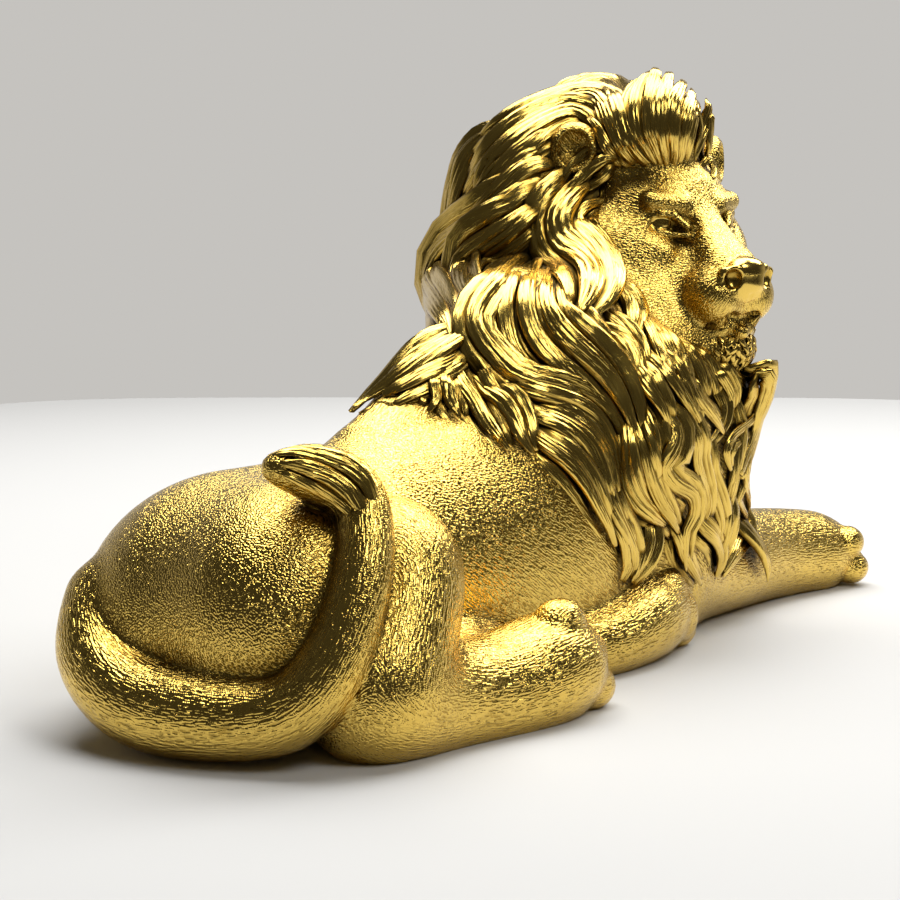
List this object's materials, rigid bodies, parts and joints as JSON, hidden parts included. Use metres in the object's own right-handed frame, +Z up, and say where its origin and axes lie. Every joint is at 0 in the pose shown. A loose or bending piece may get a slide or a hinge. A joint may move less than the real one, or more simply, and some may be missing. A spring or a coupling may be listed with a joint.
{
  "type": "reclining lion figurine",
  "caption": "Reclining lion with a turned head, a long locked mane and a tail curled round its haunch, cast as one body with a flat underside.",
  "frame": {"origin": "middle of the figure's bounding box, on the surface it lies on", "axes": "+X from the haunches towards the forepaws, +Y to the lion's left, +Z up; the face looks towards -Y"},
  "size_m": [0.3115, 0.129, 0.1703],
  "materials": {
    "antique_gold": "polished gold tone with dark olive-brown patina left in the hollows of the fur and mane"
  },
  "bodies": {
    "root": {"lion": "antique_gold"}
  },
  "joints": []
}
